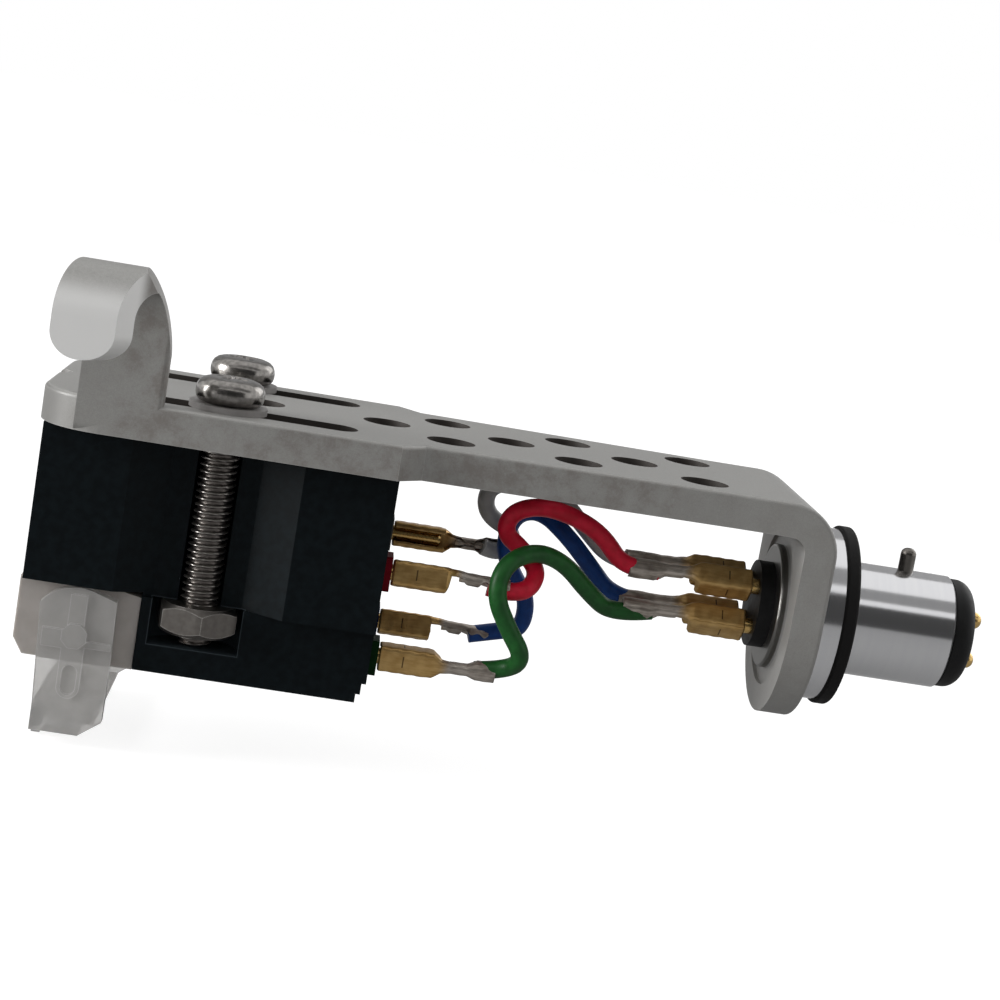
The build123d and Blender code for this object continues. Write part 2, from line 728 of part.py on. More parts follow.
# Stylus holder: side view with its slope and chin, a plug for the socket, a tunnel for the stylus
pivot = Plane(origin=(pivot_x, 0, pivot_z), z_dir=rake_dir, x_dir=(0, 1, 0))
with BuildPart() as holder:
    with BuildSketch(Plane.XZ) as holder_side:
        with BuildLine():
            Polyline(
                (holder_front, holder_top),
                (holder_slope_x, holder_top),
                (holder_rear, holder_top - holder_rear_drop),
                (holder_rear, holder_bottom),
                (holder_front + holder_chin[0], holder_bottom),
                (holder_front, holder_bottom + holder_chin[1]),
                close=True,
            )
        make_face()
    extrude(amount=holder_half, both=True)
    with BuildSketch(Plane.YZ.offset(holder_rear)):
        with Locations((0, (plug_top + plug_bottom) / 2)):
            Rectangle(2 * plug_half, plug_top - plug_bottom)
    extrude(amount=plug_len)
    with BuildSketch(Plane.XZ):
        with BuildLine():
            Polyline(
                (holder_front - 1, pivot_z - 1.0),
                (holder_front - 1, holder_bottom - 1),
                (holder_rear - 0.3, holder_bottom - 1),
                (holder_rear - 0.3, holder_bottom + 0.3),
                (tunnel_rear, plug_bottom + 0.3),
                (tunnel_rear, pivot_z + 0.4),
                (holder_slope_x, pivot_z + 0.3),
                close=True,
            )
        make_face()
    extrude(amount=tunnel_half, both=True, mode=Mode.SUBTRACT)
    with BuildSketch(pivot.offset(-sleeve_aft)):
        Circle(sleeve_out_r + press)
    extrude(amount=sleeve_aft + sleeve_fore, mode=Mode.SUBTRACT)
    with BuildSketch(Plane.YZ.offset(pivot_x + magnet_room_aft)):
        with Locations((0, (plug_top + plug_bottom) / 2 + 0.2)):
            Rectangle(2 * magnet_room_half, plug_top - plug_bottom - 0.8)
    extrude(amount=plug_len, mode=Mode.SUBTRACT)
    with BuildSketch(Plane.XZ.offset(-holder_half - guard_t)):
        with Locations((guard_pivot_x, guard_pivot_z)):
            Circle(stud_r)
    extrude(amount=guard_t)
    with BuildSketch(Plane.XZ.offset(holder_half)):
        with Locations((guard_pivot_x, guard_pivot_z)):
            Circle(stud_r)
    extrude(amount=guard_t)
keep(holder, "stylus_holder")

# Clear guard: two cheeks on the studs, a floor, a front wall and a finger lip
with BuildPart() as guard:
    with BuildSketch(Plane.XZ) as guard_side:
        with BuildLine():
            corner_z = guard_pivot_z + math.sqrt(guard_top_r**2 - (guard_front - guard_pivot_x) ** 2)
            top_x = guard_pivot_x + 0.25 * guard_top_r
            top_z = guard_pivot_z + math.sqrt(guard_top_r**2 - (top_x - guard_pivot_x) ** 2)
            RadiusArc((guard_front, corner_z), (top_x, top_z), guard_top_r)
            Polyline(
                (top_x, top_z),
                (guard_rear, guard_pivot_z + 0.8 * guard_top_r),
                (guard_rear + 0.1, guard_pivot_z - 0.5 * guard_top_r),
                (guard_heel_x, guard_heel_z),
                (guard_foot_rear, guard_bottom),
                (guard_foot_front, guard_bottom),
                (guard_foot_front, guard_wall_top),
                (guard_front, corner_z),
            )
        make_face()
    extrude(amount=guard_half, both=True)
    with BuildSketch(Plane.XZ):
        with BuildLine():
            Polyline(
                (guard_foot_front - 2, guard_pivot_z + 2 * guard_top_r),
                (guard_rear + 2, guard_pivot_z + 2 * guard_top_r),
                (guard_rear + 2, guard_bottom + guard_floor_t),
                (guard_foot_front + guard_wall_t, guard_bottom + guard_floor_t),
                (guard_foot_front + guard_wall_t, guard_wall_top),
                (guard_foot_front - 2, guard_wall_top),
                close=True,
            )
        make_face()
    extrude(amount=guard_half - guard_t, both=True, mode=Mode.SUBTRACT)
    with BuildSketch(Plane.XZ):
        with Locations((guard_foot_front + guard_wall_t / 2, guard_bottom - guard_lip_drop / 2)):
            Rectangle(guard_wall_t, guard_lip_drop)
    extrude(amount=0.8 * guard_half, both=True)
    for face in (guard_half, -guard_half - relief):
        with BuildSketch(Plane.XZ.offset(face)):
            with Locations((guard_pivot_x, (guard_pivot_z + tongue_bottom + tongue_w / 2) / 2)):
                SlotCenterToCenter(guard_pivot_z - tongue_bottom - tongue_w / 2, tongue_w, rotation=90)
            with Locations((guard_pivot_x, (guard_pivot_z + spine_top) / 2)):
                Rectangle(spine_w, spine_top - guard_pivot_z)
            with Locations(((band_front + guard_pivot_x) / 2, band_z)):
                Rectangle(guard_pivot_x - band_front, band_w)
            with Locations(((guard_pivot_x + guard_rear) / 2, rib_z)):
                Rectangle(guard_rear - guard_pivot_x, rib_w)
            with Locations((guard_pivot_x, (dish_top + dish_bottom) / 2)):
                SlotOverall(dish_top - dish_bottom, dish_w, rotation=90, mode=Mode.SUBTRACT)
        extrude(amount=relief)
    boss_face = guard_half + relief
    for face in (boss_face, -boss_face - boss_proud):
        with BuildSketch(Plane.XZ.offset(face)):
            with Locations((guard_pivot_x, guard_pivot_z)):
                RegularPolygon(boss_r, 8, major_radius=False, rotation=22.5)
        extrude(amount=boss_proud)
    with BuildSketch(Plane.XZ):
        with Locations((guard_pivot_x, guard_pivot_z)):
            Circle(stud_r + run_gap)
    extrude(amount=guard_half + run_gap, both=True, mode=Mode.SUBTRACT)
keep(guard, "stylus_guard")

# Moving stylus: sleeve and rubber ring in the holder, cantilever with its magnet and diamond
with BuildPart() as sleeve:
    with BuildSketch(pivot.offset(-sleeve_aft)):
        Circle(sleeve_out_r)
        Circle(sleeve_in_r, mode=Mode.SUBTRACT)
    extrude(amount=sleeve_aft + sleeve_fore)
keep(sleeve, "suspension_sleeve")

with BuildPart() as ring:
    with BuildSketch(pivot.offset(-ring_len / 2)):
        Circle(sleeve_in_r - press)
        Circle(ring_bore_r, mode=Mode.SUBTRACT)
    extrude(amount=ring_len)
keep(ring, "suspension_ring")

tip_base = Vector(pivot_x, 0, pivot_z) + Vector(*rake_dir) * (cantilever_len - tip_back)
with BuildPart() as cantilever:
    with BuildSketch(pivot.offset(-cantilever_tail)):
        Circle(cantilever_d / 2)
        Circle(cantilever_bore / 2, mode=Mode.SUBTRACT)
    extrude(amount=cantilever_tail + cantilever_len)
    with BuildSketch(Plane.XY.offset(tip_base.Z - cantilever_d)):
        with Locations((tip_base.X, 0)):
            Circle(tip_d / 2 + press)
    extrude(amount=2 * cantilever_d, mode=Mode.SUBTRACT)
keep(cantilever, "cantilever")

with BuildPart() as magnet:
    with BuildSketch(pivot.offset(-cantilever_tail)):
        Circle(magnet_d / 2)
        Circle(cantilever_d / 2 + press, mode=Mode.SUBTRACT)
    extrude(amount=magnet_len)
keep(magnet, "stylus_magnet")

with BuildPart() as tip:
    with BuildSketch(Plane.XY.offset(tip_base.Z - tip_drop / 2)):
        with Locations((tip_base.X, 0)):
            Circle(tip_d / 2)
    extrude(amount=tip_drop)
    extrude(tip.faces().sort_by(Axis.Z)[0], amount=tip_drop / 2, taper=20)
keep(tip, "stylus_tip")
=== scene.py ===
# %% [markdown]
# A cartridge in its headshell, dressed for a picture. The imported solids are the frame: each one
# already sits at its real place and size, so this lesson only adds finishes, threads, folded
# clips and the soft leads. Everything is in metres, with +X towards the tonearm and +Z up.

# %% Load the frame
import json
import math

import bmesh
import bpy
from mathutils import Matrix, Vector


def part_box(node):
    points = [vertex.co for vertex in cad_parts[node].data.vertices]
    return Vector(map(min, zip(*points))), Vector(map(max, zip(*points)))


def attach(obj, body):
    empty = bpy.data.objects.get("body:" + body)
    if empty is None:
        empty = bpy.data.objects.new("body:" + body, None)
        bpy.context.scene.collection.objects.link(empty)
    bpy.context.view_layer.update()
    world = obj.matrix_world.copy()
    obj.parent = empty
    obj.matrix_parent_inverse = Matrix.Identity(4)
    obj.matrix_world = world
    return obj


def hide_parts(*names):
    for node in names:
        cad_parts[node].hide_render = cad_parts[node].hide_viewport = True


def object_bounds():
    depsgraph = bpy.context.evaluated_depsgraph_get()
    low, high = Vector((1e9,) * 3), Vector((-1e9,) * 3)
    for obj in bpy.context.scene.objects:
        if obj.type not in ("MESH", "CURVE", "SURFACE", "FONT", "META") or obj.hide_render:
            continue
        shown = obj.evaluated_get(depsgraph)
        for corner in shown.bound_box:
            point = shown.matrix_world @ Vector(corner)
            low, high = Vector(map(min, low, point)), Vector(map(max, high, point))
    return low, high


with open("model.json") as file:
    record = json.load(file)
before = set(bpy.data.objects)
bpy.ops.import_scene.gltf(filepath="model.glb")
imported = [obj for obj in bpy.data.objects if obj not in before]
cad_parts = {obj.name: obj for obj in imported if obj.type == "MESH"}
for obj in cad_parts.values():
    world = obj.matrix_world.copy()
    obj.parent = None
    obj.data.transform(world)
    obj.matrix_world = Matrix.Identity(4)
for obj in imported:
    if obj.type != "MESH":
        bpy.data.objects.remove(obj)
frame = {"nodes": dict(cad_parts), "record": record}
cad_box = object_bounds()
nodes = frame["nodes"]
mm = 0.001
print(len(nodes), "solids loaded")

# %% [markdown]
# The camera comes first, because every later choice is judged through it. Its place and its
# three directions were fitted to the connector's circles, the deck's edges and the screws.
# Blender wants them as the columns of a matrix, with the camera looking along its own -Z.


# %% Camera
def show(name, data):
    """A new object in the scene, from a camera, a lamp, a curve or a mesh."""
    made = bpy.data.objects.new(name, data)
    bpy.context.scene.collection.objects.link(made)
    return made


def placed(start, x_axis, y_axis, z_axis):
    """The matrix of a thing that starts here, with its own axes along these."""
    return Matrix.Translation(start) @ Matrix((x_axis, y_axis, z_axis)).transposed().to_4x4()


eye = Vector((-0.03710, -0.15046, 0.02878))
right = Vector((0.98466, -0.05218, 0.16649))
up = Vector((-0.15553, 0.16998, 0.97309))
lens = bpy.data.cameras.new("camera")
lens.sensor_width = 36.0
lens.lens = 78.86
lens.clip_start = 0.01
camera = show("camera", lens)
camera.matrix_world = placed(eye, right, up, right.cross(up))
bpy.context.scene.camera = camera
print("camera is", round(eye.length * 1000), "mm from the connector")

# %% [markdown]
# A lead is a flexible tube held by a clip at each end. A smooth NURBS curve through the air
# suits it better than a mesh: the curve's bevel gives the round section, and the control points
# are the corners of the real route, in millimetres here. Each route starts at a terminal of the
# cartridge and ends at a contact of the connector.

# %% Where the leads run
lead_from, lead_to = -25.25, -13.35
terminals = {"white": (5.3, 0.0), "red": (-5.3, -0.75), "blue": (5.3, -6.6), "green": (-5.3, -6.6)}
contacts = {"white": (1.43, 1.43), "red": (-1.43, 1.43), "blue": (1.43, -1.43), "green": (-1.43, -1.43)}
routes = {
    "green": [
        (-23.01, -5.22, -6.29), (-22.17, -6.98, -4.89), (-23.56, -6.85, -3.07), (-24.85, -7.12, -0.85),
        (-24.48, -6.59, 1.29), (-22.49, -5.11, 2.2), (-20.22, -3.87, 1.46), (-18.2, -2.99, -0.46),
        (-16.09, -1.57, -2.07),
    ],
    "red": [
        (-22.9, -5.37, -1.07), (-21.78, -3.99, 0.4), (-23.07, -2.89, 1.69), (-24.64, -3, 2.74),
        (-24.3, -3.31, 4.3), (-22.4, -2.89, 4.95), (-20.05, -2.36, 4.53), (-17.66, -1.8, 3.41),
        (-15.77, -1.48, 1.22),
    ],
    "blue": [
        (-22.83, 5.53, -5.99), (-21.47, 4.86, -5.47), (-21.53, 4.19, -2.99), (-22.95, 3.81, -1.34),
        (-23.95, 3.59, 0.58), (-23.6, 2.96, 3.12), (-21.8, 2.18, 3.82), (-19.74, 1.2, 2.43),
        (-17.95, 1.43, 0.68), (-15.79, 1.42, -1.52),
    ],
    "white": [
        (-23.8, 5.55, -0.51), (-22.97, 5.3, 1.33), (-25.6, 4.9, 2.5), (-25.63, 4.6, 4.73),
        (-22.74, 3.87, 5.45), (-20.08, 3.24, 4.44), (-18.79, 2.25, 3.25), (-16.06, 1.42, 0.92),
    ],
}
print("corners of each route:", {colour: len(route) for colour, route in routes.items()})

# %% [markdown]
# The curve's order of 3 keeps it close to those corners. The thickness sits in each point's own
# radius, with a bevel of 1, because Blender adds the radius to the curve's box: so the curve's box
# is the lead's real one.

# %% Leads
lead_radius = 0.625 * mm


def make_lead(colour):
    """A bevelled NURBS curve from the grip of one clip to the grip of the other."""
    points = [(lead_from, *terminals[colour]), *routes[colour], (lead_to, *contacts[colour])]
    data = bpy.data.curves.new(f"insulation_{colour}", "CURVE")
    data.dimensions = "3D"
    data.bevel_depth = 1.0
    data.bevel_resolution = 8
    data.resolution_u = 14
    data.use_fill_caps = True
    spline = data.splines.new("NURBS")
    spline.points.add(len(points) - 1)
    for place, point in zip(spline.points, points):
        place.co = (*(Vector(point) * mm), 1.0)
        place.radius = lead_radius
    spline.order_u = 3
    spline.use_endpoint_u = True
    lead = show(f"insulation_{colour}", data)
    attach(lead, "headshell")
    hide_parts(f"lead_{colour}")
    return lead


leads = {colour: make_lead(colour) for colour in routes}
print(len(leads), "leads")

# %% [markdown]
# Finishes are sums of simple patterns. Written as Python, such a sum reads like maths: a socket
# is wrapped in a small class, and each operator adds the Math node that it names.


# %% Shader maths
class Num:
    """A shader socket that carries one number, for use in Python expressions."""

    def __init__(self, finish, socket):
        self.finish, self.socket = finish, socket

    def maths(self, operation, *terms):
        made = self.finish.node("Math", {"operation": operation}, dict(enumerate(terms)))
        return Num(self.finish, made.outputs[0])

    def __add__(self, other):
        return self.maths("ADD", self, other)

    def __sub__(self, other):
        return self.maths("SUBTRACT", self, other)

    def __rsub__(self, other):
        return self.maths("SUBTRACT", other, self)

    def __mul__(self, other):
        return self.maths("MULTIPLY", self, other)

    __radd__ = __add__
    __rmul__ = __mul__

    def size(self):
        return self.maths("ABSOLUTE", self)

    def larger(self, other):
        return self.maths("MAXIMUM", self, other)

    def reach(self, other):
        """The length of the arrow with these two sides."""
        return self.maths("SQRT", self * self + other * other)

    def step(self, low, high):
        """0 at low, 1 at high, and a smooth ramp between."""
        settings = {"interpolation_type": "SMOOTHSTEP"}
        ranged = self.finish.node("MapRange", settings, {0: self, 1: low, 2: high, 3: 0.0, 4: 1.0})
        return Num(self.finish, ranged.outputs[0])


print("a socket can now be added, subtracted and multiplied")

# %% [markdown]
# A finish is one material. Its constants go straight to the Principled surface. What varies over
# the piece comes from noise, from the place in the piece's own space, or from how near an edge
# is, and any node at all is made by one method, so that each finish below is only a few lines.


# %% A finish
class Finish:
    """A material with a Principled surface and the nodes that vary it."""

    def __init__(self, name, **constants):
        self.material = bpy.data.materials.new(name)
        self.material.use_nodes = True
        self.tree = self.material.node_tree
        self.surface = self.tree.nodes["Principled BSDF"]
        self.varies(**constants)
        self.place = self.node("TexCoord").outputs["Object"]
        parts = self.node("SeparateXYZ", None, {0: self.place})
        self.x, self.y, self.z = (Num(self, parts.outputs[letter]) for letter in "XYZ")

    def set(self, target, sockets):
        """Link each socket, and write each number, vector or colour."""
        for key, value in sockets.items():
            entry = target.inputs[key]
            if isinstance(value, Num):
                value = value.socket
            if isinstance(value, bpy.types.NodeSocket):
                self.tree.links.new(value, entry)
                continue
            if isinstance(value, (tuple, list)) and len(value) < len(entry.default_value):
                value = (*value, 1.0)
            entry.default_value = value

    def node(self, kind, settings=None, sockets=None):
        """Any node: its type, then its settings, then the values or links of its sockets."""
        made = self.tree.nodes.new("ShaderNode" + kind)
        for key, value in (settings or {}).items():
            setattr(made, key, value)
        self.set(made, sockets or {})
        return made

    def varies(self, **sockets):
        """Feed the surface. Python names have no spaces, so _ stands for one."""
        self.set(self.surface, {key.replace("_", " "): value for key, value in sockets.items()})

    def spotted(self, spots, dark, light, rough, rougher):
        """Spots that carry the colour from dark to light, and roughen the surface as they do."""
        self.varies(Base_Color=self.mix(spots, dark, light), Roughness=rough + spots * rougher)

    def noise(self, size, detail=2.0, roughness=0.5, stretch=(1, 1, 1)):
        """Soft random spots about size metres across, as a number round 0.5."""
        place = self.node("VectorMath", {"operation": "MULTIPLY"}, {0: self.place, 1: stretch}).outputs[0]
        numbers = {"Vector": place, "Scale": 1 / size, "Detail": detail, "Roughness": roughness}
        return Num(self, self.node("TexNoise", None, numbers).outputs["Fac"])

    def mix(self, factor, first, second):
        return self.node("Mix", {"data_type": "RGBA"}, {0: factor, 6: first, 7: second}).outputs[2]

    def bump(self, height, distance, strength=1.0):
        made = self.node("Bump", None, {"Height": height, "Distance": distance, "Strength": strength})
        self.varies(Normal=made.outputs["Normal"])

    def edges(self, radius):
        """Above 0 this near a sharp edge: there a rounded normal differs from the real one."""
        rounded = self.node("Bevel", {"samples": 6}, {"Radius": radius}).outputs["Normal"]
        real = self.node("NewGeometry").outputs["Normal"]
        dot = self.node("VectorMath", {"operation": "DOT_PRODUCT"}, {0: rounded, 1: real})
        return (1 - Num(self, dot.outputs["Value"])).step(0.01, 0.12)


print("finishes can be made")

# %% [markdown]
# The headshell is a casting under silver paint. Its holes were drilled after it was painted, so
# their walls are bare, and they get painted shade: a near black colour. An image could mark them,
# but a mask needs only distances, from a hole's centre or from a slot's middle line, and it ends
# just past the wall. The holes are the same on both sides of Y, so the size of Y stands for both.

# %% Holes in the casting
silver = Finish("silver_casting", Metallic=0.15)
hole_radius, slot_radius = 1.66, 1.42
slot_x, slot_y, slot_half = -43.5, 6.35, 6.5
hole_pairs = [(-29.277, 4.46), (-20.54, 4.46), (-11.803, 4.46)]
middle_holes = [(-42.385, 0), (-33.648, 0), (-24.912, 0), (-16.175, 0)]


def inside(away, limit, blur=0.01):
    """1 below this limit in millimetres, 0 above it, and a narrow ramp between."""
    return 1 - away.step((limit - blur) * mm, (limit + blur) * mm)


past_slot = ((silver.x - slot_x * mm).size() - slot_half * mm).larger(0.0)
hole_painted_shade = inside(past_slot.reach(silver.y.size() - slot_y * mm), slot_radius)
for x, y in hole_pairs + middle_holes:
    away = (silver.x - x * mm).reach(silver.y.size() - y * mm)
    hole_painted_shade = hole_painted_shade.larger(inside(away, hole_radius))
hole_painted_shade = hole_painted_shade * silver.z.step(6.0 * mm, 6.1 * mm)
print(2 * len(hole_pairs) + len(middle_holes), "holes and 2 slots")

# %% [markdown]
# Close up the paint is a fine even grain, a little blotched, and browner on the deck's sides than
# on its top, and the sides also get painted shade. The lift's outer face gets a painted highlight,
# the end that faces forward gets painted shade, and the edges a painted highlight. Each of these
# is one mask over the grain: a place, a direction that the face looks in, or the nearness of an edge.

# %% Silver paint
grain = silver.noise(0.07 * mm, 2.0, 0.6)
speckle = silver.noise(0.22 * mm, 3.0, 0.6)
patches = silver.noise(1.6 * mm, 5.0, 0.6)
fine = grain * 0.6 + speckle * 0.4
facing = silver.node("SeparateXYZ", None, {0: silver.node("NewGeometry").outputs["Normal"]}).outputs
facing_back, facing_up = Num(silver, facing["X"]), Num(silver, facing["Z"])
side = 1 - facing_up.step(0.3, 0.8)
on_deck = silver.x.step(-13.5 * mm, -14.5 * mm) * silver.x.step(-51.5 * mm, -50.5 * mm)
on_deck = on_deck * silver.z.step(5.9 * mm, 6.1 * mm)
blotches = (patches * 0.7 + speckle * 0.3).step(0.40, 0.64) * side * (0.15 + 0.45 * on_deck)
lift_tip = silver.y.step(-12.6 * mm, -13.8 * mm) * silver.z.step(9.0 * mm, 10.0 * mm)
lift_painted_highlight = lift_tip * (1 - facing_up.step(0.2, 0.8)) * facing_back.step(-0.75, -0.3)
front_painted_shade = facing_back.step(-0.2, -0.75) * silver.x.step(-44.0 * mm, -45.0 * mm)
edge_painted_highlight = silver.edges(0.10 * mm) * silver.z.step(6.1 * mm, 6.3 * mm)
paint = silver.mix(fine.step(0.25, 0.75), (0.32, 0.315, 0.30), (0.42, 0.415, 0.40))
for mask, tone in (
    (blotches, (0.20, 0.17, 0.15)),
    # painted shade: the side faces are coloured darker
    (side * 0.12, (0.16, 0.155, 0.145)),
    # painted highlight: the lift's outer face is coloured near white
    (lift_painted_highlight, (0.92, 0.915, 0.90)),
    # painted shade: the faces that look forward at the front end are coloured dark
    (front_painted_shade * 0.75, (0.12, 0.118, 0.112)),
    # painted highlight: the edges are coloured lighter
    (edge_painted_highlight * 0.5, (0.62, 0.61, 0.60)),
    # painted shade: the hole walls are coloured near black
    (hole_painted_shade, (0.045, 0.038, 0.033)),
):
    paint = silver.mix(mask, paint, tone)
silver.varies(Base_Color=paint, Roughness=0.36 + speckle * 0.12 + hole_painted_shade * 0.2)
silver.bump(fine, 0.012 * mm, 0.4)
print("silver casting has", len(silver.tree.nodes), "nodes")

# %% [markdown]
# The cartridge's body is moulded in black with a faint blue-green cast, satin and finely pitted.
# Each nut lies in a round pocket whose walls lie in shade and get painted light: they are coloured
# greyer than the rest of the body. The mask is again made from distances: inside the pocket's
# radius, short of the body's side, above the pocket's floor and below its top.

# %% Body's black
black = Finish("black_body", Specular_IOR_Level=0.11)
screw_x, screw_y = -44.27, 6.35
pocket_radius, pocket_side, pocket_floor, pocket_top = 3.195, 8.26, -7.75, -4.5
wall_blur, edge_blur = 0.025, 0.02
from_screw = (black.x - screw_x * mm).reach(black.y.size() - screw_y * mm)
# Painted light: the pocket's walls lie in shade, and this mask colours them lighter.
pocket = inside(from_screw, pocket_radius, wall_blur) * inside(black.y.size(), pocket_side, edge_blur)
pocket = pocket * black.z.step((pocket_floor - edge_blur) * mm, (pocket_floor + edge_blur) * mm)
pocket = pocket * inside(black.z, pocket_top, edge_blur)
black_spots = black.noise(0.6 * mm, 3.0)
moulded = black.mix(black_spots.step(0.3, 0.7), (0.0020, 0.0040, 0.0052), (0.0042, 0.0078, 0.0098))
black.varies(
    Base_Color=black.mix(pocket, moulded, (0.040, 0.052, 0.060)),
    Roughness=0.40 + black_spots * 0.16,
)
black.bump(black.noise(0.12 * mm), 0.006 * mm, 0.5)
print("the screws stand", 2 * screw_y, "mm apart")

# %% [markdown]
# The insulators are a duller black, and the rubber washer is the dullest: a rough skin, coarser
# pits and almost no shine. Both are the same recipe with other numbers.

# %% Insulator and rubber
insulator = Finish("black_insulator", Specular_IOR_Level=0.2)
insulator.spotted(insulator.noise(0.5 * mm, 3.0), (0.005, 0.005, 0.006), (0.014, 0.014, 0.014), 0.42, 0.2)
insulator.bump(insulator.noise(0.1 * mm), 0.005 * mm, 0.4)

rubber = Finish("black_rubber", Specular_IOR_Level=0.25)
rubber.spotted(rubber.noise(0.35 * mm, 3.0), (0.004, 0.004, 0.004), (0.013, 0.012, 0.012), 0.6, 0.3)
rubber.bump(rubber.noise(0.15 * mm, 3.0), 0.01 * mm, 0.6)
print("three blacks")

# %% [markdown]
# The barrel is turned brass under chrome. Its tool marks run round the X axis, so noise squeezed
# along X gives them: fine rings that break each reflection up into bands. Its front lip, swaged
# over the flange, is rougher and painted grey: painted shade in place of the bright reflection.

# %% Chrome
chrome = Finish("chromed_barrel", Metallic=1.0)
rings = chrome.noise(0.35 * mm, 4.0, 0.6, stretch=(1, 0.02, 0.02))
dust = chrome.noise(0.2 * mm, 2.0)
barrel_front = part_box("connector_barrel")[0].x
# Painted shade: the front lip is coloured grey in place of the bright reflection it would show.
lip_painted_shade = 1 - chrome.x.step(barrel_front + 0.45 * mm, barrel_front + 0.55 * mm)
turned_chrome = chrome.mix(rings.step(0.2, 0.8), (0.69, 0.69, 0.71), (0.73, 0.73, 0.74))
chrome.varies(
    Base_Color=chrome.mix(lip_painted_shade, turned_chrome, (0.20, 0.195, 0.185)),
    Roughness=0.11 + rings * 0.04 + dust * 0.05 + lip_painted_shade * 0.2,
)
chrome.bump(rings, 0.002 * mm, 0.15)
print("barrel starts at", round(barrel_front * 1000, 2), "mm")

# %% [markdown]
# Two steels. The bright one is pitted and marked all over. The dull one, on the nuts and the
# radial pin, is dark, and light along its edges: partly wear, where a spanner or the tonearm's
# socket rubs it, and partly a painted highlight.

# %% Steel
steel = Finish("bright_steel", Metallic=1.0)
marks = steel.noise(0.5 * mm, 4.0, 0.6)
pits = steel.noise(0.12 * mm, 3.0)
steel.varies(
    Base_Color=steel.mix((marks * 0.6 + pits * 0.4).step(0.35, 0.65), (0.34, 0.32, 0.30), (0.50, 0.48, 0.45)),
    Roughness=0.20 + marks * 0.14,
)
steel.bump(pits, 0.004 * mm, 0.35)

dull_steel = Finish("dull_steel", Metallic=1.0)
dull_marks = dull_steel.noise(0.4 * mm, 4.0)
dull_body_tone = dull_steel.mix(dull_marks, (0.12, 0.11, 0.10), (0.22, 0.205, 0.19))
dull_steel.varies(
    # The light edges are partly wear and partly a painted highlight.
    Base_Color=dull_steel.mix(dull_steel.edges(0.12 * mm), dull_body_tone, (0.62, 0.60, 0.57)),
    Roughness=0.26 + dull_marks * 0.14,
)
print("two steels")

# %% [markdown]
# The coils are enamelled copper wire, wound so fine that only its ridges show, so noise squeezed
# across the winding stands for them. The pins are gold-plated and polished by use.

# %% Copper and gold
copper = Finish("coil_copper", Metallic=0.9)
windings = copper.noise(0.12 * mm, 2.0, 0.5, stretch=(6, 1, 1))
copper.spotted(windings, (0.34, 0.11, 0.04), (0.70, 0.32, 0.15), 0.3, 0.2)
copper.bump(windings, 0.01 * mm, 0.6)

pins = Finish("gold_pins", Metallic=1.0)
pins.spotted(pins.noise(0.3 * mm, 4.0), (0.55, 0.34, 0.10), (0.86, 0.62, 0.27), 0.14, 0.22)
print("copper and gold")

# %% [markdown]
# A clip is stamped from gold-plated sheet, and its wire end is tinned. In the clip's own frame
# the length runs along X, so one ramp along X turns gold to tin, and noise added to X makes the
# border ragged. A short dark line across each flat face is the cut that locks the clip on its pin.

# %% Clip finish
plated = Finish("gold_brass", Metallic=0.7)
rub = plated.noise(0.9 * mm, 3.0, 0.5)
scuffs = plated.noise(0.16 * mm, 2.0, 0.5, stretch=(0.12, 1, 1))
tinned = (plated.x + (rub - 0.5) * (1.2 * mm)).step(3.9 * mm, 5.1 * mm)
y_size, z_size = plated.y.size(), plated.z.size()
on_face = (y_size.larger(z_size) - 0.6 * mm).step(0.0, 0.02 * mm)
mid_face = ((y_size - z_size).size() - 0.5 * mm).step(0.0, 0.03 * mm)
lock_cut = (1 - (plated.x - 1.65 * mm).size().step(0.03 * mm, 0.06 * mm)) * mid_face * on_face
gold = plated.mix((rub * 0.6 + scuffs * 0.4).step(0.3, 0.7), (0.46, 0.27, 0.085), (0.68, 0.45, 0.18))
gold = plated.mix(lock_cut * 0.85, gold, (0.05, 0.03, 0.01))
tin = plated.mix((rub * 0.5 + scuffs * 0.5).step(0.3, 0.7), (0.26, 0.22, 0.185), (0.60, 0.54, 0.48))
plated.varies(Base_Color=plated.mix(tinned, gold, tin), Roughness=0.30 + rub * 0.12 + tinned * 0.04)
plated.bump(scuffs, 0.004 * mm, 0.4)

strand_tin = Finish("tinned_strands", Metallic=1.0)
strand_tin.spotted(strand_tin.noise(0.2 * mm, 3.0), (0.30, 0.25, 0.20), (0.60, 0.55, 0.48), 0.25, 0.2)
print("clip finish has", len(plated.tree.nodes), "nodes")

# %% [markdown]
# The stylus holder is milky plastic that lets some light in, so it gets subsurface scattering
# with a short radius. The guard is clear: most light passes through it, its edges get a painted
# highlight, and it is wavy like any thin moulding. The washers are in between, clear and frosted.

# %% Milky and clear plastic
milky = Finish(
    "milky_plastic",
    Subsurface_Weight=0.5,
    Subsurface_Scale=0.6 * mm,
    Subsurface_Radius=(1.0, 0.95, 0.9),
    Specular_IOR_Level=0.45,
)
milky_spots = milky.noise(1.4 * mm, 3.0)
milky_grit = milky.noise(0.15 * mm, 2.0)
milky.varies(
    Base_Color=milky.mix(milky_spots.step(0.3, 0.7), (0.42, 0.39, 0.365), (0.47, 0.44, 0.415)),
    Roughness=0.34 + milky_grit * 0.2,
)
milky.bump(milky_grit, 0.006 * mm, 0.4)

clear = Finish("clear_plastic", IOR=1.49, Transmission_Weight=0.62)
waves = clear.noise(1.1 * mm, 3.0)
grit = clear.noise(0.2 * mm, 3.0)
body_of_guard = clear.mix(waves, (0.62, 0.61, 0.595), (0.74, 0.73, 0.715))
clear.varies(
    # Painted highlight: the guard's edges are coloured near white.
    Base_Color=clear.mix(clear.edges(0.09 * mm), body_of_guard, (0.97, 0.97, 0.96)),
    Roughness=0.05 + grit * 0.16,
)
clear.bump(waves * 0.8 + grit * 0.2, 0.05 * mm, 0.35)

